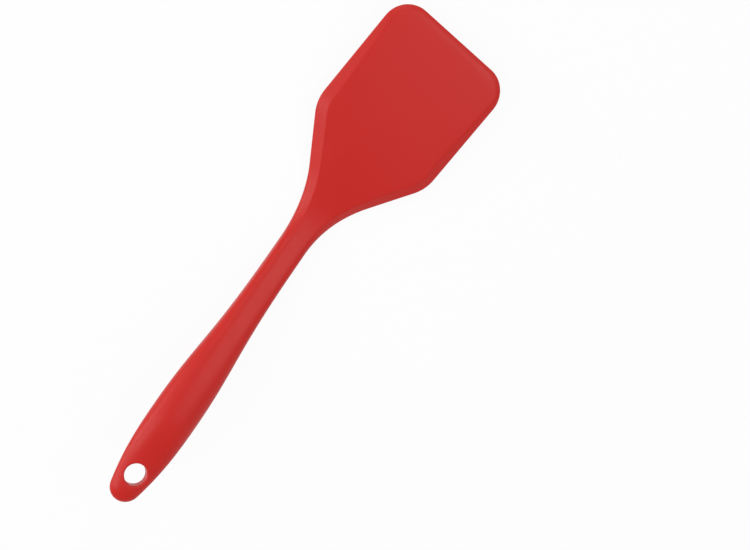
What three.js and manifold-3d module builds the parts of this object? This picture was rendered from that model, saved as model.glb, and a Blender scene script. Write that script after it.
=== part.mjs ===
import * as THREE from 'three';
import { mergeVertices } from 'three/addons/utils/BufferGeometryUtils.js';
import Module from 'manifold-3d';

// A kitchen turner: a silicone skin, moulded in two shots, over a nylon handle core and a thin steel plate.
// Lengths are millimetres and angles are degrees.
// The turner is drawn along its middle line, which is also the parting line of the two skins:
// "along" runs from the end of the handle to the front of the blade, "across" runs to the right,
// and "lift" rises from the middle line towards the food side. At the neck the middle line bends up.

// Plan outline of the skin, from the handle's end forwards.
const noseRadius = 8.6;
const noseSpread = 13.5;
const gripStation = 54;
const gripHalfWidth = 13;
const taperLength = 98;
const neckHalfWidth = 8.2;
const neckLength = 10.9;
const flareRadius = 77;
const flareAngle = 33.5;
const shoulderRadius = 23;
const bladeHalfWidth = 40;
const bladeSideLength = 50.5;
const cornerRadius = 15.5;

// How long each curve of the outline keeps its end directions, as shares of the curve's run.
const noseEase = 0.38;
const gripEase = 0.36;
const neckEase = 0.56;

// The bend, and how the turner lies on a table: on its heel, with the end of the handle lifted.
const neckToBend = 12;
const bendRadius = 100;
const bladeAngle = 18;
const restPitch = 12.5;

// Heights of the upper skin and depths of the lower skin, from the middle line.
const holeHeight = 4;
const holeDepth = 4;
const gripHeight = 7.2;
const gripDepth = 6.6;
const neckHeight = 4.6;
const neckDepth = 5;
const rootHeight = 3.6;
const frontHeight = 1.5;
const bladeDepth = 1.6;
const heelRun = 26;
const gripRoundness = 2.3;

// The bevelled border of the blade's top: wide at the shoulders, narrow at the neck and at the front.
const rimHeight = 0.9;
const neckBevel = 2.8;
const shoulderBevel = 5.4;
const cornerBevel = 2.8;
const frontBevel = 3;
const edgeRound = 0.6;

// Hanging hole, with a rounded lip on both faces.
const holeStation = 16.2;
const holeRadius = 6;
const holeLip = 1;

// Handle core: glass-filled nylon, with an eye round the hanging hole and pockets that the silicone fills.
const coreSkin = 1.5;
const eyeLining = 1.2;
const coreSetback = 5;
const coreDome = 1;
const coreWeb = 4;
const pocketCount = 5;
const firstPocket = 40;
const pocketLength = 13;
const pocketRib = 4;
const pocketWall = 3.2;
const pocketCorner = 1.5;

// Blade plate: spring steel, with a tang that the nylon grips and holes that the silicone goes through.
const plateThickness = 0.3;
const plateBorder = 7;
const plateFrontBorder = 16;
const plateCorner = 9;
const tangWall = 2.1;
const tangLength = 42;
const pegRadius = 2;
const pegSetback = 10;
const pegPitch = 16;
const lockRadius = 3;
const lockPitch = 18;
const lockEdge = 4;

// Modelling clearance between pieces that touch on the real object.
const gap = 0.3;

// Steps in the curves, and a reach that takes every cutter well past the part.
// The core's steps crowd towards its round end: each station goes by a power of its share of the length.
const outlineSteps = 5;
const bendSteps = 7;
const tangSteps = 9;
const coreSteps = 26;
const coreCrowding = 1.5;
const coreSides = 5;
const pocketSteps = 2;
const holeSides = 24;
const lockSides = 10;
const lipSteps = 2;
const reach = 20;

// Stations and widths that follow from the driving dimensions.
const spread = THREE.MathUtils.degToRad(noseSpread);
const flare = THREE.MathUtils.degToRad(flareAngle);
const bend = THREE.MathUtils.degToRad(bladeAngle);
const neckStation = gripStation + taperLength;
const flareStation = neckStation + neckLength;
const bendStart = neckStation + neckToBend;
const bendEnd = bendStart + bendRadius * bend;
const flatStation = bendEnd + heelRun;
const coreEnd = bendEnd - coreSetback;
const tangStart = coreEnd - tangLength;
const tangHalfWidth = neckHalfWidth - coreSkin - tangWall;

const wasm = await Module();
wasm.setup();

// Solids for joining and cutting.

function solidOf(geometry) {
  const bare = geometry.clone();
  bare.deleteAttribute('normal');
  bare.deleteAttribute('uv');
  const merged = mergeVertices(bare, 1e-5);
  const vertProperties = new Float32Array(merged.attributes.position.array);
  const triVerts = new Uint32Array(merged.index.array);
  return new wasm.Manifold(new wasm.Mesh({ numProp: 3, vertProperties, triVerts }));
}

function geometryOf(solid) {
  const mesh = solid.getMesh();
  const geometry = new THREE.BufferGeometry();
  geometry.setAttribute('position', new THREE.BufferAttribute(new Float32Array(mesh.vertProperties), 3));
  geometry.setIndex(new THREE.BufferAttribute(new Uint32Array(mesh.triVerts), 1));
  geometry.computeVertexNormals();
  return geometry;
}

function subtractAll(solid, cutters) {
  return cutters.reduce((left, cutter) => left.subtract(cutter), solid);
}

// The middle line: straight handle, bend, straight blade.

function lineAt(along) {
  const turn = THREE.MathUtils.clamp((along - bendStart) / bendRadius, 0, bend);
  const past = Math.max(along - bendEnd, 0);
  const y = Math.min(along, bendStart) + bendRadius * Math.sin(turn) + past * Math.cos(bend);
  const z = bendRadius * (1 - Math.cos(turn)) + past * Math.sin(bend);
  return { y, z, turn };
}

function place(across, along, lift) {
  const { y, z, turn } = lineAt(along);
  return new THREE.Vector3(across, y - lift * Math.sin(turn), z + lift * Math.cos(turn));
}

// A round cutter square to the middle line.
function drill(radius, across, along, sides) {
  const { y, z, turn } = lineAt(along);
  const geometry = new THREE.CylinderGeometry(radius, radius, 2 * reach, sides);
  return solidOf(geometry.rotateX(Math.PI / 2 + turn).translate(across, y, z));
}

// Outlines are half plans: x is the station along the turner, y is the half width there.

function flareRun(neckHalf, bladeHalf, concave, convex) {
  const rise = bladeHalf - neckHalf - (concave + convex) * (1 - Math.cos(flare));
  return (concave + convex) * Math.sin(flare) + rise / Math.tan(flare);
}

function drawBlade(path, { neckHalf, bladeHalf, concave, convex, shoulder, front, corner }) {
  const start = shoulder - flareRun(neckHalf, bladeHalf, concave, convex);
  path.absarc(start, neckHalf + concave, concave, -Math.PI / 2, flare - Math.PI / 2, false);
  path.absarc(shoulder, bladeHalf - convex, convex, Math.PI / 2 + flare, Math.PI / 2, true);
  path.absarc(front - corner, bladeHalf - corner, corner, Math.PI / 2, 0, true);
}

const shoulderStation = flareStation + flareRun(neckHalfWidth, bladeHalfWidth, flareRadius, shoulderRadius);
const frontStation = shoulderStation + bladeSideLength + cornerRadius;
const bevelStation = frontStation - frontBevel;

function skinOutline() {
  const joinAlong = noseRadius * (1 - Math.sin(spread));
  const joinHalf = noseRadius * Math.cos(spread);
  const hold = noseEase * (gripStation - joinAlong);
  const path = new THREE.Path();
  path.absarc(noseRadius, 0, noseRadius, Math.PI, Math.PI / 2 + spread, true);
  path.bezierCurveTo(
    joinAlong + hold * Math.cos(spread), joinHalf + hold * Math.sin(spread),
    gripStation - hold, gripHalfWidth,
    gripStation, gripHalfWidth,
  );
  path.bezierCurveTo(
    gripStation + gripEase * taperLength, gripHalfWidth,
    neckStation - neckEase * taperLength, neckHalfWidth,
    neckStation, neckHalfWidth,
  );
  drawBlade(path, {
    neckHalf: neckHalfWidth, bladeHalf: bladeHalfWidth, concave: flareRadius, convex: shoulderRadius,
    shoulder: shoulderStation, front: frontStation, corner: cornerRadius,
  });
  return path.getPoints(outlineSteps);
}

// The plate keeps an even border to the skin's outline, because their curves share their centres.
function plateOutline(extra) {
  const border = plateBorder - extra;
  const path = new THREE.Path();
  path.moveTo(tangStart - extra, tangHalfWidth + extra);
  drawBlade(path, {
    neckHalf: tangHalfWidth + extra, bladeHalf: bladeHalfWidth - border,
    concave: flareRadius + border, convex: shoulderRadius - border,
    shoulder: shoulderStation, front: frontStation - plateFrontBorder + extra, corner: plateCorner + extra,
  });
  return path.getPoints(outlineSteps);
}

function halfWidthOn(outline, along) {
  const next = outline.findIndex((point) => point.x >= along);
  if (next <= 0) return outline.at(next).y;
  const [a, b] = [outline[next - 1], outline[next]];
  return THREE.MathUtils.mapLinear(along, a.x, b.x, a.y, b.y);
}

function steps(from, to, count) {
  return Array.from({ length: count + 1 }, (_, i) => THREE.MathUtils.lerp(from, to, i / count));
}

// Stations of a loft: the points of its outline and any others, in order and a little apart.
function stationsFor(outline, others) {
  const all = [...outline.map((point) => point.x), ...others].sort((a, b) => a - b);
  return all.filter((along, i) => i === all.length - 1 || all[i + 1] - along > edgeRound / 4);
}

// Heights, depths and bevels along the turner.

// Eases from each station's value to the next one's.
function easeAlong(stations, along) {
  return stations.slice(1).reduce((value, [station, target], i) => {
    const [before, from] = stations[i];
    return value + (target - from) * THREE.MathUtils.smoothstep(along, before, station);
  }, stations[0][1]);
}

function upperHeight(along) {
  const handle = easeAlong([
    [holeStation, holeHeight], [gripStation, gripHeight], [neckStation, neckHeight], [bendEnd, rootHeight],
  ], along);
  const taper = THREE.MathUtils.clamp((along - bendEnd) / (bevelStation - bendEnd), 0, 1);
  const fall = THREE.MathUtils.clamp((along - bevelStation) / frontBevel, 0, 1);
  return handle + taper * (frontHeight - rootHeight) + fall * (rimHeight - frontHeight);
}

function lowerDepth(along) {
  return easeAlong([
    [holeStation, holeDepth], [gripStation, gripDepth], [neckStation, neckDepth], [flatStation, bladeDepth],
  ], along);
}

function bevelWidth(along) {
  return easeAlong([
    [neckStation, neckBevel], [shoulderStation, shoulderBevel], [bevelStation, cornerBevel],
  ], along);
}

// The handle's end is a ball: this is the share of the full height there, for a surface set in by some wall.
function noseShare(along, wall) {
  const back = THREE.MathUtils.clamp((noseRadius - along) / (noseRadius - wall), 0, 1);
  return Math.sqrt(1 - back * back);
}

// Quarter sections: points from the side edge, on the middle line, up to the middle.

function gripQuarter(half, height, count) {
  const power = 2 / gripRoundness;
  return steps(0, Math.PI / 2, count).map((angle) => [
    half * Math.max(Math.cos(angle), 0) ** power,
    height * Math.sin(angle) ** power,
  ]);
}

function bladeQuarter(half, height, rim, bevel) {
  const round = Math.min(edgeRound, rim);
  const corner = round * (1 - Math.SQRT1_2);
  const crease = half - bevel;
  return [
    [half, 0], [half, rim - round], [half - corner, rim - corner], [half - round, rim],
    [crease, height], [crease * 2 / 3, height], [crease / 3, height], [0, height],
  ];
}

// The left half of an arch mirrors its right half.
function archOf(quarter) {
  return [...quarter, ...quarter.slice(0, -1).reverse().map(([across, lift]) => [-across, lift])];
}

function middleOf(ring) {
  const sum = ring.reduce((total, point) => total.add(point), new THREE.Vector3());
  return sum.divideScalar(ring.length);
}

// Joins rings of points into a closed solid. Each ring turns from right over the top to left.
function loft(rings, back = middleOf(rings[0]), front = middleOf(rings.at(-1))) {
  const positions = [];
  const triangle = (a, b, c) => positions.push(...a.toArray(), ...b.toArray(), ...c.toArray());
  rings[0].forEach((_, i) => {
    const next = (i + 1) % rings[0].length;
    triangle(back, rings[0][i], rings[0][next]);
    triangle(front, rings.at(-1)[next], rings.at(-1)[i]);
    for (let r = 1; r < rings.length; r += 1) {
      triangle(rings[r - 1][i], rings[r][i], rings[r][next]);
      triangle(rings[r - 1][i], rings[r][next], rings[r - 1][next]);
    }
  });
  const geometry = new THREE.BufferGeometry();
  geometry.setAttribute('position', new THREE.Float32BufferAttribute(positions, 3));
  return solidOf(geometry);
}

// Skins: half of the turner's outside, cut flat at the parting line.

const outline = skinOutline();

function skinRing(along, side) {
  const half = halfWidthOn(outline, along);
  const upper = side > 0;
  const height = upper ? upperHeight(along) : lowerDepth(along);
  const rim = upper ? Math.min(rimHeight, height) : height;
  const bevel = upper ? bevelWidth(along) : 2 * edgeRound;
  const bladeShare = THREE.MathUtils.smoothstep(along, neckStation, flatStation);
  const blade = bladeQuarter(half, height, rim, Math.min(bevel, half / 2));
  const grip = gripQuarter(half, height * noseShare(along, 0), blade.length - 1);
  const quarter = grip.map(([across, lift], i) => [
    THREE.MathUtils.lerp(across, blade[i][0], bladeShare),
    Math.max(THREE.MathUtils.lerp(lift, blade[i][1], bladeShare), gap / 2),
  ]);
  const ring = archOf(quarter).map(([across, lift]) => place(across, along, side * lift));
  return upper ? ring : ring.reverse();
}

function halfSkin(side) {
  const bends = steps(bendStart, bendEnd, bendSteps);
  const stations = stationsFor(outline, [holeStation, flatStation, bevelStation, ...bends]);
  return loft(stations.slice(1).map((along) => skinRing(along, side)), place(0, 0, side * gap / 2));
}

function hangingHole() {
  const profile = new THREE.Path();
  profile.moveTo(0, -reach);
  profile.lineTo(holeRadius + holeLip, -reach);
  profile.absarc(holeRadius + holeLip, holeLip - holeDepth, holeLip, 1.5 * Math.PI, Math.PI, true);
  profile.absarc(holeRadius + holeLip, holeHeight - holeLip, holeLip, Math.PI, Math.PI / 2, true);
  profile.lineTo(holeRadius + holeLip, reach);
  profile.lineTo(0, reach);
  const geometry = new THREE.LatheGeometry(profile.getPoints(lipSteps), holeSides);
  return solidOf(geometry.rotateX(Math.PI / 2).translate(0, holeStation, 0));
}

// Handle core, set in from the outside by a wall. The room for it in the skins is the same, a gap larger.

function coreHalfWidth(along, wall) {
  if (along > neckStation) return neckHalfWidth - wall;
  const ball = (noseRadius - wall) * noseShare(along, wall);
  const side = halfWidthOn(outline, along) - wall;
  return along < noseRadius ? Math.min(ball, side) : side;
}

function coreRing(along, wall) {
  const half = coreHalfWidth(along, wall);
  const share = noseShare(along, wall);
  const arch = (height) => archOf(gripQuarter(half, (height - wall) * share, coreSides));
  const top = arch(upperHeight(along));
  const under = arch(lowerDepth(along)).slice(1, -1).reverse();
  const points = [...top, ...under.map(([across, lift]) => [across, -lift])];
  return points.map(([across, lift]) => place(across, along, lift));
}

function pocket(index, side, extra) {
  const middle = firstPocket + index * (pocketLength + pocketRib);
  const half = coreHalfWidth(middle + pocketLength / 2, coreSkin) - pocketWall - extra;
  const length = pocketLength / 2 - extra;
  const corner = pocketCorner - extra;
  const shape = new THREE.Shape();
  shape.absarc(half - corner, length - corner, corner, 0, Math.PI / 2, false);
  shape.absarc(corner - half, length - corner, corner, Math.PI / 2, Math.PI, false);
  shape.absarc(corner - half, corner - length, corner, Math.PI, 1.5 * Math.PI, false);
  shape.absarc(half - corner, corner - length, corner, 1.5 * Math.PI, 2 * Math.PI, false);
  const options = { depth: reach, bevelEnabled: false, curveSegments: pocketSteps };
  const geometry = new THREE.ExtrudeGeometry(shape, options);
  geometry.translate(0, 0, coreWeb / 2 + extra);
  if (side < 0) geometry.rotateY(Math.PI);
  return solidOf(geometry.translate(0, middle, 0));
}

function coreBlank(extra) {
  const wall = coreSkin - extra;
  const end = coreEnd + extra;
  const stations = steps(0, 1, coreSteps).map((share) => wall + (end - wall) * share ** coreCrowding);
  const rings = stations.slice(1).map((along) => coreRing(along, wall));
  const blank = loft(rings, place(0, wall, 0), place(0, end + coreDome, 0));
  const cutters = [drill(holeRadius + eyeLining - extra, 0, holeStation, holeSides)];
  for (let i = 0; i < pocketCount; i += 1) {
    cutters.push(pocket(i, 1, extra), pocket(i, -1, extra));
  }
  return subtractAll(blank, cutters);
}

// Blade plate, with its locking holes in staggered rows and its peg holes in the tang.

function lockPlaces() {
  const edge = lockRadius + lockEdge;
  const plate = plateOutline(0);
  const places = [];
  const last = frontStation - plateFrontBorder - edge;
  for (let row = 0; bendEnd + edge + row * lockPitch <= last; row += 1) {
    const along = bendEnd + edge + row * lockPitch;
    const limit = halfWidthOn(plate, along - lockRadius) - edge;
    for (let across = (row % 2) * lockPitch / 2; across <= limit; across += lockPitch) {
      places.push([across, along]);
      if (across > 0) places.push([-across, along]);
    }
  }
  return places;
}

function plateRing(along, half, lift) {
  const corners = [[half, -lift], [half, lift], [-half, lift], [-half, -lift]];
  return corners.map(([across, height]) => place(across, along, height));
}

function plateBlank(extra) {
  const plate = plateOutline(extra);
  const lift = plateThickness / 2 + extra;
  const bends = steps(tangStart, bendEnd, tangSteps).slice(1);
  const stations = stationsFor(plate, bends);
  const blank = loft(stations.map((along) => plateRing(along, halfWidthOn(plate, along), lift)));
  const pegs = [0, 1].map((i) => drill(pegRadius - extra, 0, coreEnd - pegSetback - i * pegPitch, lockSides));
  const locks = lockPlaces().map(([across, along]) => drill(lockRadius - extra, across, along, lockSides));
  return subtractAll(blank, [...pegs, ...locks]);
}

// The named pieces.

const silicone = new THREE.MeshStandardMaterial({ color: '#c8352f', roughness: 0.5, metalness: 0 });
const nylon = new THREE.MeshStandardMaterial({ color: '#3a3c40', roughness: 0.6, metalness: 0 });
const steel = new THREE.MeshStandardMaterial({ color: '#b9bdc1', roughness: 0.35, metalness: 1 });

function piece(name, solid, material) {
  const mesh = new THREE.Mesh(geometryOf(solid), material);
  mesh.name = name;
  return mesh;
}

const plateRoom = plateBlank(gap);
const rooms = [coreBlank(gap), plateRoom, hangingHole()];

const turner = new THREE.Group();
turner.add(piece('upper_skin', subtractAll(halfSkin(1), rooms), silicone));
turner.add(piece('lower_skin', subtractAll(halfSkin(-1), rooms), silicone));
turner.add(piece('handle_core', coreBlank(0).subtract(plateRoom), nylon));
turner.add(piece('blade_plate', plateBlank(0), steel));

// The turner lies on its heel, with the middle of its footprint at the origin.
turner.rotation.x = -THREE.MathUtils.degToRad(restPitch);
const box = new THREE.Box3().setFromObject(turner, true);
const centre = box.getCenter(new THREE.Vector3());
turner.position.set(-centre.x, -centre.y, -box.min.z);

export default turner;
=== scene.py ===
# %% [markdown]
# # A silicone kitchen turner
# To the eye the turner is one piece: a satin skin of silicone rubber from the hanging hole to the front
# edge. Inside, the skin covers a nylon handle core and a thin spring-steel plate. The CAD frame holds these
# pieces at their real sizes. This lesson keeps the core and the plate, makes the two halves of the skin
# again as smooth surfaces, and gives every piece its finish. All of it could be modelled from nothing, but a
# new skin has to fit the core and the plate inside it, so the frame comes first.

# %% The frame
import math
from functools import partial

import bpy
import numpy as np
from mathutils import Matrix, Vector


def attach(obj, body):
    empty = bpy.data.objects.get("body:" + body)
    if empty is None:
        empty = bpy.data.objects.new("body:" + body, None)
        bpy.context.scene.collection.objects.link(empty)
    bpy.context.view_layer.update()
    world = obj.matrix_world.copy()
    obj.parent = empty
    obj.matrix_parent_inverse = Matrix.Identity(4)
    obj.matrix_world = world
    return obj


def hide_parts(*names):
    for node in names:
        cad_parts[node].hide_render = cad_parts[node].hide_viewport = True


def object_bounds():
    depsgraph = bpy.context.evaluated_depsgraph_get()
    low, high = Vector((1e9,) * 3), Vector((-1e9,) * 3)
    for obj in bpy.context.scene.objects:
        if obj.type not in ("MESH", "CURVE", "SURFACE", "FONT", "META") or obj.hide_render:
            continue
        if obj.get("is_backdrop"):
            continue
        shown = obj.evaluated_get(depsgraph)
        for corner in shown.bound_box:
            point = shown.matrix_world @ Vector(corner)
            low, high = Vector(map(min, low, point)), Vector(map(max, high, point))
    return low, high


MM = 0.001
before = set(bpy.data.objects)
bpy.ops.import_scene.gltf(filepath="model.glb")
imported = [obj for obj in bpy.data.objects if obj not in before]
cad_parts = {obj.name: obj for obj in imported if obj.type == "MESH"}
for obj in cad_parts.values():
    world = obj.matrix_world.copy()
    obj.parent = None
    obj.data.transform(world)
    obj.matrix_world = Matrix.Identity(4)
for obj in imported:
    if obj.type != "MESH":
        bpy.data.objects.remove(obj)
cad_low, cad_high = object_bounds()
print("the frame holds", ", ".join(sorted(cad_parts)))

# %% [markdown]
# ## Sizes
# A moulder draws the skin flat, as a plan, and then says how high it stands and where it bends. These are
# the sizes of that drawing, in millimetres and degrees. Stations run along the middle line from the end of
# the handle, and half widths run across it. An ease is the distance from a curve's end to the point that
# steers it, as a share of the curve's run. The outline could be measured point by point from the CAD
# solids, but a few driving sizes keep every curve smooth and are easy to change.

# %% Sizes of the skin
nose_radius, nose_spread = 8.6, 13.5
grip_station, grip_half = 54.0, 13.0
taper_length, neck_length = 98.0, 10.9
neck_station, neck_half = grip_station + taper_length, 8.2
nose_ease, grip_ease, neck_ease = 0.38, 0.36, 0.56

flare_station = neck_station + neck_length
flare_radius, flare_angle = 77.0, 33.5
shoulder_radius, blade_half = 23.0, 40.0
blade_side, corner_radius = 50.5, 15.5
both_radii, flare_slope = flare_radius + shoulder_radius, math.radians(flare_angle)
flare_rise = blade_half - neck_half - both_radii * (1 - math.cos(flare_slope))
shoulder_station = flare_station + both_radii * math.sin(flare_slope) + flare_rise / math.tan(flare_slope)
front_station = shoulder_station + blade_side + corner_radius

neck_to_bend, heel_run = 12.0, 26.0
bend_radius, bend_angle, rest_pitch = 100.0, 18.0, 12.5
bend_start = neck_station + neck_to_bend
bend_end = bend_start + bend_radius * math.radians(bend_angle)
flat_station = bend_end + heel_run

hole_station, hole_radius, hole_lip = 16.2, 6.0, 1.0
neck_bevel, shoulder_bevel, front_bevel = 3.6, 5.9, 2.9
bevel_station = front_station - front_bevel
print(f"the skin is {front_station:.1f} mm long along its middle line and {2 * blade_half:.0f} mm wide")

# %% [markdown]
# ## Stretches of the outline
# The border of the turner was milled into its mould, so it runs in arcs, in gentle easing curves and
# straight. It could be traced over a picture, but a traced row of points is never quite smooth, and a satin
# surface shows every dent. Three small functions plot each kind of stretch from its own sizes instead.

# %% Arcs, easing curves and straights
fewest_arc_steps = 12


def arc(along, half, radius, start, end, step):
    count = max(math.ceil(math.radians(abs(end - start)) * radius / step), fewest_arc_steps)
    angle = np.radians(np.linspace(start, end, count + 1))
    return np.stack([along + radius * np.cos(angle), half + radius * np.sin(angle)], 1)


def easing(start, steer_out, steer_in, end, step):
    a, b, c, d = map(np.array, (start, steer_out, steer_in, end))
    t = np.linspace(0, 1, math.ceil(np.linalg.norm(d - a) / step) + 1)[:, None]
    return (1 - t) ** 3 * a + 3 * (1 - t) ** 2 * t * b + 3 * (1 - t) * t ** 2 * c + t ** 3 * d


def straight(start, end, step):
    count = math.ceil(math.dist(start, end) / step)
    return np.linspace(start, end, count + 1)


column_step = 1.3
print(f"a blade corner takes {len(arc(0, 0, corner_radius, 90, 0, column_step / 2))} points")

# %% [markdown]
# ## The outline
# The border runs from the tip of the handle, swells to the grip, narrows to the neck, flares to the blade
# and ends in the middle of the front edge. The whole of it could be drawn, but the turner is the same on
# its left and right, so half an outline is enough. The stretches meet without corners, as the cutter of a
# mould would run.

# %% Outline of half the plan
def outline(step):
    """The half plan from the handle's tip to the middle of the front edge, with points about a step apart."""
    spread = math.radians(nose_spread)
    join = np.array([nose_radius * (1 - math.sin(spread)), nose_radius * math.cos(spread)])
    hold = nose_ease * (grip_station - join[0])
    nose = arc(nose_radius, 0, nose_radius, 180, 90 + nose_spread, step / 2)
    grip = easing(
        join, join + hold * np.array([math.cos(spread), math.sin(spread)]),
        (grip_station - hold, grip_half), (grip_station, grip_half), step,
    )
    taper = easing(
        (grip_station, grip_half), (grip_station + grip_ease * taper_length, grip_half),
        (neck_station - neck_ease * taper_length, neck_half), (neck_station, neck_half), step,
    )
    neck = straight((neck_station, neck_half), (flare_station, neck_half), step)
    flare = arc(flare_station, neck_half + flare_radius, flare_radius, -90, flare_angle - 90, step)
    shoulder_half = blade_half - shoulder_radius
    shoulder = arc(shoulder_station, shoulder_half, shoulder_radius, 90 + flare_angle, 90, step)
    wing = straight(flare[-1], shoulder[0], step)
    side_end = front_station - corner_radius
    side = straight((shoulder_station, blade_half), (side_end, blade_half), step)
    corner = arc(side_end, blade_half - corner_radius, corner_radius, 90, 0, step / 2)
    front = straight(corner[-1], (front_station, 0), step)
    stretches = [nose, grip, taper, neck, flare, wing, shoulder, side, corner, front]
    return np.concatenate([nose[:1]] + [stretch[1:] for stretch in stretches])


fine_step, tiny = column_step / 20, 1e-6
fine_outline = outline(fine_step)
fine_side = fine_outline[: np.searchsorted(fine_outline[:, 0], front_station - tiny) + 1]


def half_width(along):
    return np.interp(along, fine_side[:, 0], fine_side[:, 1])


edge_points = outline(column_step)
print(f"{len(edge_points)} points on the half outline")

# %% [markdown]
# ## The columns of the flat pattern
# The skin starts as a flat pattern, like a sheet cut to the outline. A plain grid would cut the border into
# steps, so the pattern has columns that start square to the border. Each goes straight in for a few
# millimetres, which keeps the bevel clean, and then heads for the middle line, or for the rim of the
# hanging hole.

# %% Columns from the border inwards
square_reach, square_share = 6.8, 0.6
hole_columns_end, settle_length, front_inset = 30.0, 30.0, 30.0
lip_radius = hole_radius + hole_lip


def smooth_step(value, low, high):
    share = np.clip((value - low) / (high - low), 0, 1)
    return share * share * (3 - 2 * share)


run = np.concatenate([[0], np.cumsum(np.linalg.norm(np.diff(edge_points, axis=0), axis=1))])
tangent = np.gradient(edge_points, run, axis=0)
normal = np.stack([tangent[:, 1], -tangent[:, 0]], 1)
normal[0], normal[-1] = (1, 0), (-1, 0)
normal /= np.linalg.norm(normal, axis=1)[:, None]

station = edge_points[:, 0]
last_at_hole = int(np.searchsorted(station, hole_columns_end))
hole_angle = math.pi * (1 - run[: last_at_hole + 1] / run[last_at_hole])
lag = station[last_at_hole] - hole_station - lip_radius
settle = smooth_step(station, hole_columns_end, hole_columns_end + settle_length)
spine = station - lag * (1 - settle) + settle * square_reach * normal[:, 0]
column_ends = np.stack([np.minimum(spine, front_station - front_inset), np.zeros(len(spine))], 1)
column_ends[: last_at_hole + 1, 0] = hole_station + lip_radius * np.cos(hole_angle)
column_ends[: last_at_hole + 1, 1] = lip_radius * np.sin(hole_angle)

square = np.minimum(square_reach, square_share * np.linalg.norm(column_ends - edge_points, axis=1))
elbows = edge_points + normal * square[:, None]
column_length = square + np.linalg.norm(column_ends - elbows, axis=1)
print(f"{len(edge_points)} columns, and {last_at_hole + 1} of them end at the hanging hole")

# %% [markdown]
# ## The rows of the flat pattern
# Rows cross the columns from the border inwards. On the round grip they crowd where the section turns down
# steeply, and on the blade they crowd at the rounded edge and at the crease of the bevel. Subdividing the
# whole skin would catch these turns too, but with many more faces on flat ground.

# %% Rows across the columns
rows, edge_rows, bevel_rows, crease_rows = 40, 8, 8, 6
edge_width, crease_width = 0.9, 0.6
grip_roundness, neck_roundness = 2.3, 3.4


def eased(along, stations, values):
    """Eases from each station's value to the next one's."""
    total = np.full_like(along, values[0])
    for low, high, before, after in zip(stations, stations[1:], values, values[1:]):
        total += (after - before) * smooth_step(along, low, high)
    return total


def blade_rows(along, length):
    stations = (neck_station, shoulder_station, bevel_station)
    crease = eased(along, stations, (neck_bevel, shoulder_bevel, front_bevel))
    near, far = crease - crease_width, crease + crease_width
    turn = np.linspace(0, math.pi / 2, edge_rows + 1)
    edge = np.broadcast_to(edge_width * (1 - np.cos(turn)), (len(along), edge_rows + 1))
    bevel = np.linspace(np.full_like(near, edge_width), near, bevel_rows + 1, axis=1)[:, 1:]
    fold = np.linspace(near, far, crease_rows + 1, axis=1)[:, 1:]
    inner_rows = rows - edge_rows - bevel_rows - crease_rows
    inner = np.linspace(far, np.maximum(length, far + 1), inner_rows + 1, axis=1)[:, 1:]
    return np.concatenate([edge, bevel, fold, inner], 1)


on_blade = blade_rows(station, column_length)
quarter_turn = np.linspace(0, math.pi / 2, rows + 1)
on_grip = column_length[:, None] * (1 - np.cos(quarter_turn) ** (2 / grip_roundness))
blade_part = smooth_step(station, neck_station, flat_station)[:, None]
inset = np.minimum(on_grip + blade_part * (on_blade - on_grip), column_length[:, None])
past_elbow = ((inset - square[:, None]) / (column_length - square)[:, None])[..., None]
straight_in = edge_points[:, None] + normal[:, None] * inset[..., None]
heading_in = elbows[:, None] + (column_ends - elbows)[:, None] * past_elbow
plan = np.where(past_elbow < 0, straight_in, heading_in)
print(f"half the pattern has {plan.shape[0]} x {plan.shape[1]} points")

# %% [markdown]
# ## The lip of the hanging hole
# The edge of the hole is rounded on the real turner, so that a hook doesn't cut it. A bevel modifier could
# round it after the skin is made, but a few more rows of the pattern give the same round and keep the faces
# in order. They run over the lip and down the wall of the hole. Each knows how far it drops below the skin,
# and the wall's rows know how far they hang to the seam.

# %% Lip and wall of the hole
lip_rows, wall_rows = 8, 4
lip_turn = np.linspace(0, math.pi / 2, lip_rows + 1)
lip_ring = np.concatenate([hole_radius + hole_lip * (1 - np.sin(lip_turn)), np.full(wall_rows, hole_radius)])
lip_drop = np.concatenate([hole_lip * (1 - np.cos(lip_turn)), np.full(wall_rows, hole_lip)])
wall_hang = np.concatenate([np.zeros(lip_rows), np.linspace(0, 1, wall_rows + 1)])
lip_plan = np.stack([
    hole_station + np.cos(hole_angle)[:, None] * lip_ring,
    np.sin(hole_angle)[:, None] * lip_ring,
], -1)
print(f"the hole is {2 * hole_radius:.0f} mm across, with a lip of {hole_lip:.0f} mm")

# %% [markdown]
# ## Sections and hollows
# Across the handle the skin arches over the nylon core: the grip's section is nearly an ellipse and the
# neck's is flatter and fuller. Sections could be drawn one by one and bridged, but one formula, the
# superellipse, gives them all. The same formula, a wall thickness smaller, gives the hollow for the core,
# so the wall is even. The plate needs only a thin slot.

# %% Arch of the skin and room for the core
core_wall, room_setback, eye_radius = 1.3, 4.4, 6.7
room_end = bend_end - room_setback
slot_half, slot_border, slot_front_border, tang_room = 0.45, 3.2, 15.4, 43.0
slot_start, slot_end = room_end - tang_room, front_station - slot_front_border


def arch_share(along, across, half, wall):
    """The share of the full height at a point: a superellipse across, and a ball at the handle's end."""
    share = np.clip(np.abs(across) / np.maximum(half, tiny), 0, 1)
    back = np.clip((nose_radius - along) / (nose_radius - wall), 0, 1)
    power = eased(along, (grip_station, neck_station), (grip_roundness, neck_roundness))
    return (1 - share ** power) ** (1 / power) * np.sqrt(1 - back ** 2)


def core_share(along, across):
    half = np.where(along > neck_station, neck_half, half_width(along)) - core_wall
    outside_eye = np.hypot(along - hole_station, across) > eye_radius
    inside = outside_eye & (along < room_end) & (half > 0)
    return np.where(inside, arch_share(along, across, half, core_wall), 0)


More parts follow.
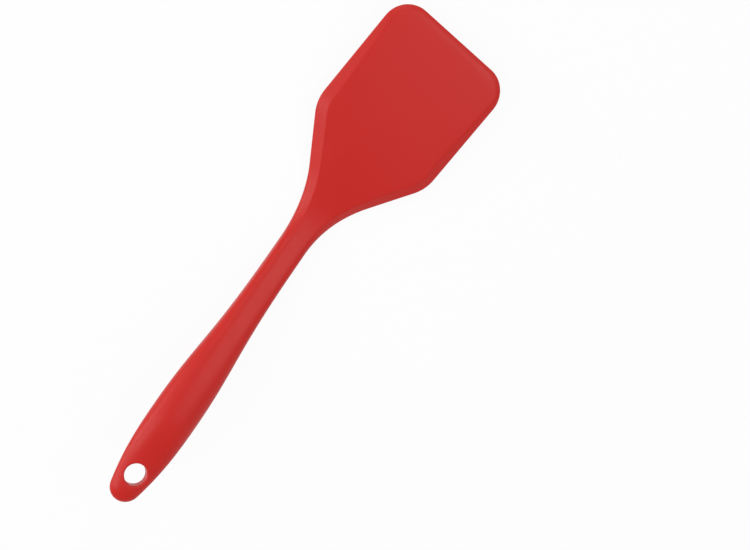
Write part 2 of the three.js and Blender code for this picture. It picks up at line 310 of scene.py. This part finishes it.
def pattern_values(points, edge, drop, hang):
    along, across = points[..., 0], points[..., 1]
    in_slot = (along > slot_start) & (along < slot_end) & (edge > slot_border)
    return {
        "edge": edge * MM,
        "arch": np.where(edge > 0, arch_share(along, across, half_width(along), 0), 0),
        "core": core_share(along, across),
        "slot": np.where(in_slot, slot_half, 0) * MM,
        "drop": np.broadcast_to(drop, along.shape) * MM,
        "hang": np.broadcast_to(hang, along.shape),
    }


lip_edge = np.full(lip_plan.shape[:2], lip_radius)
patches = [
    (plan, pattern_values(plan, inset, 0, 0)),
    (lip_plan, pattern_values(lip_plan, lip_edge, lip_drop, wall_hang)),
]
print("each point of the pattern knows its", ", ".join(patches[0][1]))

# %% [markdown]
# ## The flat mesh
# The pattern becomes a flat mesh with both halves in it. What each point knows is stored as an attribute of
# the mesh, so the nodes that raise the skin can read it by name. The nodes could work these values out
# themselves, but the tree would be many times as long.

# %% Flat mesh with its attributes
def pattern_mesh(patches):
    places, faces, values = [], [], {name: [] for name in patches[0][1]}
    for points, point_values in patches:
        columns, depth = points.shape[:2]
        index = np.arange(columns * depth).reshape(columns, depth)
        quads = np.stack([index[:-1, :-1], index[1:, :-1], index[1:, 1:], index[:-1, 1:]], -1).reshape(-1, 4)
        for side in (1, -1):
            start = sum(len(block) for block in places)
            flat = np.stack([side * points[..., 1], points[..., 0], np.zeros(points.shape[:2])], -1)
            places.append(flat.reshape(-1, 3) * MM)
            faces.append(quads[:, ::side] + start)
            for name, block in point_values.items():
                values[name].append(block.ravel())
    mesh = bpy.data.meshes.new("skin_pattern")
    mesh.from_pydata(np.concatenate(places).tolist(), [], np.concatenate(faces).tolist())
    for name, blocks in values.items():
        attribute = mesh.attributes.new(name, "FLOAT", "POINT")
        attribute.data.foreach_set("value", np.concatenate(blocks).astype(np.float32))
    return mesh


flat_pattern = pattern_mesh(patches)
print(f"the flat pattern has {len(flat_pattern.polygons)} faces")

# %% [markdown]
# ## Adding nodes
# A tree of nodes could be clicked together by hand, but then no script could make it again. Every tree in
# this lesson, for shapes and for finishes, is written with one small helper. It makes a node, sets its
# properties, and fills its inputs with values or with the outputs of other nodes, so a tree reads like a
# list of steps. Its first use starts the tree of the skin: two nodes that tell how far along the turner a
# point of the flat pattern lies.

# %% One helper for all nodes
def add(tree, kind, inputs=(), **settings):
    """Adds a node and returns its first usable output. Inputs go by order in a list, or by key in a dict."""
    node = tree.nodes.new(kind)
    for name, value in settings.items():
        setattr(node, name, value)
    filled = inputs.items() if isinstance(inputs, dict) else enumerate(inputs)
    for key, source in filled:
        if isinstance(source, bpy.types.NodeSocket):
            tree.links.new(source, node.inputs[key])
        else:
            node.inputs[key].default_value = source
    return next((output for output in node.outputs if output.enabled), None)


MATH, RANGE = "ShaderNodeMath", "ShaderNodeMapRange"
skin_tree = bpy.data.node_groups.new("raise_and_bend_skin", "GeometryNodeTree")
skin = partial(add, skin_tree)
flat_place = skin("GeometryNodeInputPosition")
along = skin("ShaderNodeSeparateXYZ", [flat_place]).node.outputs["Y"]
print("the skin's tree starts with", " and ".join(node.name for node in skin_tree.nodes))

# %% [markdown]
# ## The skin's tree: its sizes
# The skin follows one rule along its whole length: a round grip that eases into a flat blade with a
# bevelled border, bent up at the neck. It could be sculpted once for each half, but a node tree can hold
# the rule with its sizes as named inputs. Then the same tree makes the upper and the lower skin.

# %% Inputs of the tree
skin_sizes = [
    "Side", "Hole height", "Grip height", "Neck height", "Root height", "Front height",
    "Hole station", "Grip station", "Neck station", "Root station", "Shoulder station", "Bevel station",
    "Flat station", "Neck bevel", "Shoulder bevel", "Front bevel", "Rim height", "Edge round",
    "Crease softness", "Front softness", "Core wall", "Seam gap",
    "Bend start", "Bend end", "Bend radius", "Bend angle",
]
skin_tree.interface.new_socket("Pattern", in_out="INPUT", socket_type="NodeSocketGeometry")
for name in skin_sizes:
    skin_tree.interface.new_socket(name, in_out="INPUT", socket_type="NodeSocketFloat")
skin_tree.interface.new_socket("Material", in_out="INPUT", socket_type="NodeSocketMaterial")
skin_tree.interface.new_socket("Skin", in_out="OUTPUT", socket_type="NodeSocketGeometry")

given = skin("NodeGroupInput").node.outputs
known = {name: skin("GeometryNodeInputNamedAttribute", {"Name": name}) for name in patches[0][1]}
print(f"the tree takes {len(skin_sizes)} sizes and {len(known)} attributes")

# %% [markdown]
# ## The skin's tree: height and bevel along it
# Seen from the side, the turner is thick at the grip, thinner at the neck and thinnest at the front edge.
# The bevel is widest at the blade's shoulders. Both ease from one station to the next, so one loop of Map
# Range nodes serves both. A curve drawn by hand would do as well, but its sizes couldn't be read off.

# %% Height and bevel from station to station
def eased_size(along, stations, sizes):
    """The same easing as in the pattern, made of nodes."""
    total = given[sizes[0]]
    for low, high, before, after in zip(stations, stations[1:], sizes, sizes[1:]):
        change = skin(MATH, [given[after], given[before]], operation="SUBTRACT")
        climb = skin(RANGE, [along, given[low], given[high], 0.0, change], interpolation_type="SMOOTHSTEP")
        total = skin(MATH, [total, climb], operation="ADD")
    return total


handle_height = eased_size(
    along, ("Hole station", "Grip station", "Neck station", "Root station"),
    ("Hole height", "Grip height", "Neck height", "Root height"),
)
thinning = skin(MATH, [given["Front height"], given["Root height"]], operation="SUBTRACT")
thinned = skin(RANGE, [along, given["Root station"], given["Bevel station"], 0.0, thinning])
height = skin(MATH, [handle_height, thinned], operation="ADD")
blade_stations = ("Neck station", "Shoulder station", "Bevel station")
bevel = eased_size(along, blade_stations, ("Neck bevel", "Shoulder bevel", "Front bevel"))
softness = eased_size(along, blade_stations[1:], ("Crease softness", "Front softness"))
print(f"{len(skin_tree.nodes)} nodes so far, with heights and bevels")

# %% [markdown]
# ## The skin's tree: the section of the blade
# The blade's border rises in a small round from the seam to a low rim, climbs the bevel, and turns flat at
# a soft crease. A bevel modifier could round a hard crease, but every edge along it would need a weight of
# its own where the crease softens towards the front. A Smooth Minimum of the slope and the flat gives the
# crease in one node, with a softness that can change along the blade.

# %% Rim, bevel and flat
edge_turn = skin(RANGE, [known["edge"], 0.0, given["Edge round"], 1.0, 0.0])
edge_dip = skin(MATH, [edge_turn, 2.0], operation="POWER")
edge_left = skin(MATH, [1.0, edge_dip], operation="SUBTRACT")
edge_curve = skin(MATH, [edge_left], operation="SQRT")
rim_lift = skin(MATH, [given["Rim height"], edge_curve], operation="MULTIPLY")
above_rim = skin(MATH, [height, given["Rim height"]], operation="SUBTRACT")
bevel_top = skin(MATH, [above_rim, 0.0], operation="MAXIMUM")
bevel_part = skin(MATH, [known["edge"], bevel], operation="DIVIDE")
slope = skin(MATH, [bevel_part, bevel_top], operation="MULTIPLY")
bevel_lift = skin(MATH, [slope, bevel_top, softness], operation="SMOOTH_MIN")
blade_lift = skin(MATH, [rim_lift, bevel_lift], operation="ADD")
print(f"{len(skin_tree.nodes)} nodes so far, with the blade's section")

# %% [markdown]
# ## The skin's tree: from the grip to the blade
# Between the neck and the blade the round section melts into the bevelled one. Two meshes could be bridged
# there, but a smooth Map Range from one lift to the other leaves no joint to see. Then the hole's lip drops
# its share, and the inside of the skin takes whichever is higher, the room for the core or the slot for the
# plate. Both sheets stop at the seam.

# %% Lifts of the outside and the inside
grip_lift = skin(MATH, [height, known["arch"]], operation="MULTIPLY")
blade_share = skin(
    RANGE, [along, given["Neck station"], given["Flat station"], 0.0, 1.0], interpolation_type="SMOOTHSTEP",
)
face_lift = skin(RANGE, [blade_share, 0.0, 1.0, grip_lift, blade_lift])
lip_lift = skin(MATH, [face_lift, known["drop"]], operation="SUBTRACT")
wall_lift = skin(RANGE, [known["hang"], 0.0, 1.0, lip_lift, given["Seam gap"]])
outer_lift = skin(MATH, [wall_lift, given["Seam gap"]], operation="MAXIMUM")

core_height = skin(MATH, [height, given["Core wall"]], operation="SUBTRACT")
core_lift = skin(MATH, [known["core"], core_height], operation="MULTIPLY")
room_lift = skin(MATH, [core_lift, known["slot"]], operation="MAXIMUM")
inner_lift = skin(MATH, [room_lift, given["Seam gap"]], operation="MAXIMUM")
print(f"{len(skin_tree.nodes)} nodes so far, with all lifts")

# %% [markdown]
# ## The skin's tree: two sheets, one shell
# The pattern is raised twice, once to the outside of the skin and once to its inside. The inner sheet is
# turned over, so that its faces point into the hollow, and the two are merged where they meet at the seam.
# Solidify would give a wall of one thickness, and here the wall has to follow the core and the plate.

# %% Shell of the skin
merge_reach = 0.002 * MM


def raised(lift):
    offset = skin(MATH, [lift, given["Side"]], operation="MULTIPLY")
    rise = skin("ShaderNodeCombineXYZ", {"Z": offset})
    return skin("GeometryNodeSetPosition", {"Geometry": given["Pattern"], "Offset": rise})


sheets = skin("GeometryNodeJoinGeometry").node
inner_sheet = skin("GeometryNodeFlipFaces", {"Mesh": raised(inner_lift)})
for sheet in (raised(outer_lift), inner_sheet):
    skin_tree.links.new(sheet, sheets.inputs[0])
shell = skin("GeometryNodeMergeByDistance", {"Geometry": sheets.outputs[0], "Distance": merge_reach})
is_lower = skin("FunctionNodeCompare", {"A": given["Side"], "B": 0.0}, operation="LESS_THAN")
shell = skin("GeometryNodeFlipFaces", {"Mesh": shell, "Selection": is_lower})
print(f"{len(skin_tree.nodes)} nodes so far, with the shell")

# %% [markdown]
# ## The skin's tree: the bend
# The blade of the real turner is cranked up from the handle, so that a hand clears the pan. A curve
# modifier could bend the skin along a drawn path, but the radius and the angle would be hidden in that
# path. The nodes turn each point about the middle of the bend instead: what lies before it stays, what lies
# in it follows the arc, and what lies past it runs on straight.

# %% Bend, smooth shading and finish
place = skin("ShaderNodeSeparateXYZ", [skin("GeometryNodeInputPosition")]).node.outputs
turn = skin(RANGE, [place["Y"], given["Bend start"], given["Bend end"], 0.0, given["Bend angle"]])
sine = skin(MATH, [turn], operation="SINE")
cosine = skin(MATH, [turn], operation="COSINE")
before = skin(MATH, [place["Y"], given["Bend start"]], operation="MINIMUM")
beyond_end = skin(MATH, [place["Y"], given["Bend end"]], operation="SUBTRACT")
past = skin(MATH, [beyond_end, 0.0], operation="MAXIMUM")
arm = skin(MATH, [given["Bend radius"], place["Z"]], operation="SUBTRACT")

swung_forward = skin(MATH, [arm, sine, before], operation="MULTIPLY_ADD")
forward = skin(MATH, [past, cosine, swung_forward], operation="MULTIPLY_ADD")
arm_height = skin(MATH, [arm, cosine], operation="MULTIPLY")
swung_up = skin(MATH, [given["Bend radius"], arm_height], operation="SUBTRACT")
upward = skin(MATH, [past, sine, swung_up], operation="MULTIPLY_ADD")
bent_place = skin("ShaderNodeCombineXYZ", [place["X"], forward, upward])

bent = skin("GeometryNodeSetPosition", {"Geometry": shell, "Position": bent_place})
bent = skin("GeometryNodeSetShadeSmooth", {"Geometry": bent})
bent = skin("GeometryNodeRealizeInstances", {"Geometry": bent})
bent = skin("GeometryNodeSetMaterial", {"Geometry": bent, "Material": given["Material"]})
skin("NodeGroupOutput", [bent])
print(f"{len(skin_tree.nodes)} nodes in all")

# %% [markdown]
# ## Moulded silicone rubber
# The skin is pressed from silicone rubber in a mould with finely blasted walls. The rubber copies that
# grain, so it looks satin: no sharp reflections, only a broad soft shine that follows the form. A flat
# colour would look like paint, so the pigment is slightly cloudy, the shine varies with it, and the grain
# breaks the light up.

# %% Finish of the skins
# Most values of a noise lie in this span, so it is what a roughness is spread over.
noise_span = (0.3, 0.7)


def linear(colour):
    """An sRGB hex colour as the linear values that the shaders use."""
    channels = [int(colour[i:i + 2], 16) / 255 for i in (1, 3, 5)]
    return [c / 12.92 if c <= 0.04045 else ((c + 0.055) / 1.055) ** 2.4 for c in channels] + [1.0]


def new_material(name):
    material = bpy.data.materials.new(name)
    material.use_nodes = True
    material.node_tree.nodes.clear()
    return material, material.node_tree


def silicone_rubber():
    material, tree = new_material("moulded_silicone_rubber")
    place = add(tree, "ShaderNodeTexCoord").node.outputs["Object"]
    cloud_width, smooth, dull = 22 * MM, 0.35, 0.41
    cloud = add(tree, "ShaderNodeTexNoise", {"Vector": place, "Scale": 1 / cloud_width, "Detail": 3.0})
    # A Mix node's factor is its input 0, and its two colours are its inputs 6 and 7.
    pigment = {0: cloud, 6: linear("#ca1b13"), 7: linear("#ce1e15")}
    colour = add(tree, "ShaderNodeMix", pigment, data_type="RGBA")
    shine = add(tree, RANGE, [cloud, *noise_span, smooth, dull])
    # The blasted grain is about 0.1 mm wide, and is drawn four times as wide so that it can show.
    grain_width, grain_depth = 0.4 * MM, 0.1 * MM
    grain = add(tree, "ShaderNodeTexNoise", {"Vector": place, "Scale": 1 / grain_width, "Detail": 2.0})
    bump = add(tree, "ShaderNodeBump", {"Height": grain, "Strength": 0.3, "Distance": grain_depth})
    shader = add(tree, "ShaderNodeBsdfPrincipled", {
        "Base Color": colour, "Roughness": shine, "IOR": 1.41, "Normal": bump,
    })
    add(tree, "ShaderNodeOutputMaterial", {"Surface": shader})
    return material


silicone = silicone_rubber()
print("made", silicone.name)

# %% [markdown]
# ## The two skins
# The lower skin could be a mirror image of the upper one, but only the upper one has the bevelled border,
# and the lower one is flat under the blade. So each starts as the flat pattern, with the tree as a modifier
# and sizes of its own. The result becomes a plain mesh, because the finished model carries no modifiers,
# and is tipped to the way the turner lies on its heel. A hair of a gap keeps the two skins apart.

# %% Skins from the tree
seam_gap = 0.01
shared_sizes = {
    "Hole station": hole_station, "Grip station": grip_station, "Neck station": neck_station,
    "Shoulder station": shoulder_station, "Bevel station": bevel_station, "Flat station": flat_station,
    "Neck bevel": neck_bevel, "Shoulder bevel": shoulder_bevel, "Front bevel": front_bevel,
    "Core wall": core_wall, "Seam gap": seam_gap,
    "Bend start": bend_start, "Bend end": bend_end, "Bend radius": bend_radius,
}
upper_sizes = {
    "Hole height": 4.0, "Grip height": 7.2, "Neck height": 4.6, "Root height": 4.1, "Front height": 1.5,
    "Root station": bend_end, "Rim height": 0.6, "Edge round": 0.5,
    "Crease softness": 0.6, "Front softness": 0.9,
}
lower_sizes = {
    "Hole height": 4.0, "Grip height": 6.6, "Neck height": 5.0, "Root height": 1.6, "Front height": 1.6,
    "Root station": flat_station, "Rim height": 1.6, "Edge round": 0.8,
    "Crease softness": 0.0, "Front softness": 0.0,
}
sockets = {item.name: item.identifier for item in skin_tree.interface.items_tree if item.in_out == "INPUT"}


def make_skin(name, side, sizes):
    carrier = bpy.data.objects.new(name + "_pattern", flat_pattern)
    bpy.context.collection.objects.link(carrier)
    modifier = carrier.modifiers.new("skin", "NODES")
    modifier.node_group = skin_tree
    for size, value in {**shared_sizes, **sizes}.items():
        modifier[sockets[size]] = value * MM
    modifier[sockets["Side"]] = float(side)
    modifier[sockets["Bend angle"]] = math.radians(bend_angle)
    modifier[sockets["Material"]] = silicone
    carrier.update_tag()
    evaluated = carrier.evaluated_get(bpy.context.evaluated_depsgraph_get())
    mesh = bpy.data.meshes.new_from_object(evaluated)
    bpy.data.objects.remove(carrier)
    mesh.name = name
    mesh.transform(Matrix.Rotation(-math.radians(rest_pitch), 4, "X"))
    piece = bpy.data.objects.new(name, mesh)
    bpy.context.collection.objects.link(piece)
    return piece


upper_skin = make_skin("upper_silicone_skin", 1, upper_sizes)
lower_skin = make_skin("lower_silicone_skin", -1, lower_sizes)
print(f"each skin has {len(upper_skin.data.polygons)} faces")

# %% [markdown]
# ## Fitting the skins to the frame
# The tree works from the tip of the handle, and the CAD frame from the middle of the footprint. The skins
# could be moved until they look right, but the heel and the handle's tip are the same points in both, so
# one shift lines them up. Then each skin takes the place of its CAD solid. Faces that meet at a steep
# angle, as at the seam, keep a sharp edge between them.

# %% Skins in place
sharp_angle = 50


def corners(piece):
    places = np.empty(len(piece.data.vertices) * 3)
    piece.data.vertices.foreach_get("co", places)
    return places.reshape(-1, 3).min(0), places.reshape(-1, 3).max(0)


skin_low = corners(lower_skin)[0]
shift = Matrix.Translation((0, cad_low.y - skin_low[1], cad_low.z - skin_low[2]))
for piece, node in ((upper_skin, "upper_skin"), (lower_skin, "lower_skin")):
    piece.data.transform(shift)
    piece.data.set_sharp_from_angle(angle=math.radians(sharp_angle))
    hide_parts(node)
    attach(piece, "root")
    low, high = corners(piece)
    print(f"{piece.name} runs from {np.round(low / MM, 1)} to {np.round(high / MM, 1)} mm")

# %% [markdown]
# ## Glass-filled nylon
# The core in the handle is injected from nylon with short glass fibres, which line up with the flow along
# the handle. They show as paler, duller streaks in the dark plastic. Modelling fibres would be wasted here,
# so a noise that is stretched along the handle draws the streaks, and the CAD solid only gets this finish.

# %% Finish of the handle core
def filled_nylon():
    material, tree = new_material("glass_filled_nylon")
    place = add(tree, "ShaderNodeTexCoord").node.outputs["Object"]
    flow = add(tree, "ShaderNodeMapping", {"Vector": place, "Scale": (1.0, 0.1, 1.0)})
    # A fibre is about 0.01 mm thick, and is drawn as a streak of 0.3 mm so that it can show.
    fibre_width, fibre_height, smooth, dull = 0.3 * MM, 0.05 * MM, 0.5, 0.65
    fibres = add(tree, "ShaderNodeTexNoise", {"Vector": flow, "Scale": 1 / fibre_width, "Detail": 2.0})
    plastic = {0: fibres, 6: linear("#34363a"), 7: linear("#46484c")}
    colour = add(tree, "ShaderNodeMix", plastic, data_type="RGBA")
    shine = add(tree, RANGE, [fibres, *noise_span, smooth, dull])
    bump = add(tree, "ShaderNodeBump", {"Height": fibres, "Strength": 0.1, "Distance": fibre_height})
    shader = add(tree, "ShaderNodeBsdfPrincipled", {
        "Base Color": colour, "Roughness": shine, "IOR": 1.53, "Normal": bump,
    })
    add(tree, "ShaderNodeOutputMaterial", {"Surface": shader})
    return material


nylon = filled_nylon()
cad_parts["handle_core"].material_slots[0].material = nylon
print("made", nylon.name)

# %% [markdown]
# ## Cold-rolled spring steel
# The plate that stiffens the blade is cut from rolled stainless sheet. The rolls leave fine lines along the
# strip, which dull its reflections unevenly. The lines could be cut into the plate, but they are far too
# fine for a mesh. A stretched noise gives them to the roughness and to a very low bump, and the metal keeps
# one pale grey colour with only a slight change from line to line.

# %% Finish of the blade plate
def rolled_steel():
    material, tree = new_material("cold_rolled_spring_steel")
    place = add(tree, "ShaderNodeTexCoord").node.outputs["Object"]
    strip = add(tree, "ShaderNodeMapping", {"Vector": place, "Scale": (1.0, 0.02, 1.0)})
    # Rolling lines are about 0.05 mm apart, and are drawn at 0.4 mm so that they can show.
    line_width, line_depth, smooth, dull = 0.4 * MM, 0.02 * MM, 0.26, 0.4
    lines = add(tree, "ShaderNodeTexNoise", {"Vector": strip, "Scale": 1 / line_width, "Detail": 3.0})
    sheet = {0: lines, 6: linear("#b4b8bb"), 7: linear("#bcc0c3")}
    colour = add(tree, "ShaderNodeMix", sheet, data_type="RGBA")
    shine = add(tree, RANGE, [lines, *noise_span, smooth, dull])
    bump = add(tree, "ShaderNodeBump", {"Height": lines, "Strength": 0.08, "Distance": line_depth})
    shader = add(tree, "ShaderNodeBsdfPrincipled", {
        "Base Color": colour, "Metallic": 1.0, "Roughness": shine, "Normal": bump,
    })
    add(tree, "ShaderNodeOutputMaterial", {"Surface": shader})
    return material


steel = rolled_steel()
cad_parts["blade_plate"].material_slots[0].material = steel
print("made", steel.name)

# %% [markdown]
# ## The camera
# The photograph looks down on the turner from its left, with the handle towards the lower left corner. The
# camera could be aimed by eye, but its place, turn and lens were found by laying the turner's outline over
# the photograph. It is placed step by step: to the point it aims at, turned round it, tipped, rolled, and
# then drawn back along its own axis.

# %% Camera
camera_aim = Vector((42.65, 24.03, 21.93)) * MM
camera_distance = 600 * MM
camera_azimuth, camera_elevation, camera_roll = -95.43, 69.64, 133.42
focal_pixels, frame_pixels = 1093, 750


def turned(degrees, axis):
    return Matrix.Rotation(math.radians(degrees), 4, axis)


camera_data = bpy.data.cameras.new("camera")
camera_data.lens = focal_pixels / frame_pixels * camera_data.sensor_width
camera = bpy.data.objects.new("camera", camera_data)
bpy.context.collection.objects.link(camera)
camera_turn = turned(camera_azimuth, "Z") @ turned(90 - camera_elevation, "X") @ turned(camera_roll, "Z")
drawn_back = Matrix.Translation((0, 0, camera_distance))
camera.matrix_world = Matrix.Translation(camera_aim) @ camera_turn @ drawn_back
bpy.context.scene.camera = camera
print(f"the lens is {camera_data.lens:.1f} mm, {camera_distance:.1f} m from the turner")

# %% [markdown]
# ## The table
# The turner lies on a white table that sweeps up into a wall all round, like a photographer's cove, so no
# edge of it shows from any side. A brighter lamp could bleach the table, but it would bleach the turner
# too. Instead the table glows, for the eye and for reflections only, in most of its white, and the rest of
# it is lit like paper, which keeps a faint shadow.

# %% White table
table_radius, table_sides = 6.0, 64
sweep_radius, sweep_rings = 4.0, 12
glow_share = 0.93


def white_table():
    material, tree = new_material("white_table")
    paper = add(tree, "ShaderNodeBsdfDiffuse", {"Color": linear("#f8f8f8")})
    glow = add(tree, "ShaderNodeEmission", {"Color": linear("#ffffff"), "Strength": 1.0})
    ray = add(tree, "ShaderNodeLightPath").node.outputs
    mirrored = add(tree, MATH, [ray["Is Glossy Ray"], ray["Is Transmission Ray"]], operation="ADD")
    seen = add(tree, MATH, [ray["Is Camera Ray"], mirrored], operation="ADD", use_clamp=True)
    share = add(tree, MATH, [seen, glow_share], operation="MULTIPLY")
    surface = add(tree, "ShaderNodeMixShader", [share, paper, glow])
    add(tree, "ShaderNodeOutputMaterial", {"Surface": surface})
    return material


def swept_table():
    """A round floor, as one face, and rings of faces that curve up from its border into a wall."""
    angle = np.linspace(0, 2 * math.pi, table_sides, endpoint=False)
    climb = np.radians(np.linspace(0, 90, sweep_rings + 1))[:, None]
    radius = table_radius + sweep_radius * np.sin(climb)
    height = np.broadcast_to(sweep_radius * (1 - np.cos(climb)), (len(climb), table_sides))
    rings = np.stack([radius * np.cos(angle), radius * np.sin(angle), height], -1)
    index = np.arange(height.size).reshape(height.shape)
    after = np.roll(index, -1, axis=1)
    wall = np.stack([index[:-1], index[1:], after[1:], after[:-1]], -1).reshape(-1, 4)
    mesh = bpy.data.meshes.new("table")
    mesh.from_pydata(rings.reshape(-1, 3).tolist(), [], [index[0].tolist()] + wall.tolist())
    mesh.materials.append(white_table())
    return mesh


table = bpy.data.objects.new("table", swept_table())
bpy.context.collection.objects.link(table)
table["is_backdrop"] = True
print(f"the table is {2 * table_radius:.0f} m across, and its wall is {sweep_radius:.0f} m high")

# %% [markdown]
# ## The studio light
# The photograph has soft light with a slightly brighter left: the left bevel is pale, the right one is
# dark, and a haze lies on the front of the blade and along the handle. One large lamp could light it all,
# but each of these marks needs light from a side of its own. So softboxes stand round the turner, a little
# over a metre away, and each is as bright as a white card times a number. A pale sky fills what they leave
# dark.

# %% Softboxes and sky
studio_distance = 1.3
sky_brightness = 0.43


def softbox(name, azimuth, elevation, width, brightness):
    """A square soft panel that faces the turner; a brightness of 1 is a white card in full light."""
    data = bpy.data.lights.new(name, "AREA")
    data.shape, data.size = "SQUARE", width
    data.energy = brightness * math.pi * width ** 2
    light = bpy.data.objects.new(name, data)
    bpy.context.collection.objects.link(light)
    stood_off = Matrix.Translation((0, 0, studio_distance))
    light.matrix_world = turned(azimuth, "Z") @ turned(90 - elevation, "Y") @ stood_off
    light.visible_camera = False
    return light


lights = [
    softbox("left_softbox", azimuth=200, elevation=30, width=0.85, brightness=2.6),
    softbox("back_softbox", azimuth=215, elevation=62, width=0.45, brightness=3.6),
    softbox("front_softbox", azimuth=124, elevation=50, width=0.5, brightness=2.6),
    softbox("top_softbox", azimuth=50, elevation=64, width=0.4, brightness=3.7),
    softbox("right_card", azimuth=0, elevation=25, width=0.8, brightness=0.35),
]
world = bpy.data.worlds.new("studio")
world.use_nodes = True
sky = world.node_tree.nodes["Background"].inputs
sky["Color"].default_value = linear("#ffffff")
sky["Strength"].default_value = sky_brightness
bpy.context.scene.world = world
bpy.context.scene.view_settings.view_transform = "Standard"
print("lights:", ", ".join(light.name for light in lights))

# %% [markdown]
# ## Closing
# How far each side of the finished model's box lies from the CAD model's box is printed, in millimetres,
# so that any change in the turner's size shows.

# %% Sizes and finish
new_low, new_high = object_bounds()
growth = [(after - before) / MM for before, after in zip((*cad_low, *cad_high), (*new_low, *new_high))]
print("the box moved by", ", ".join(f"{step:.2f}" for step in growth), "mm")
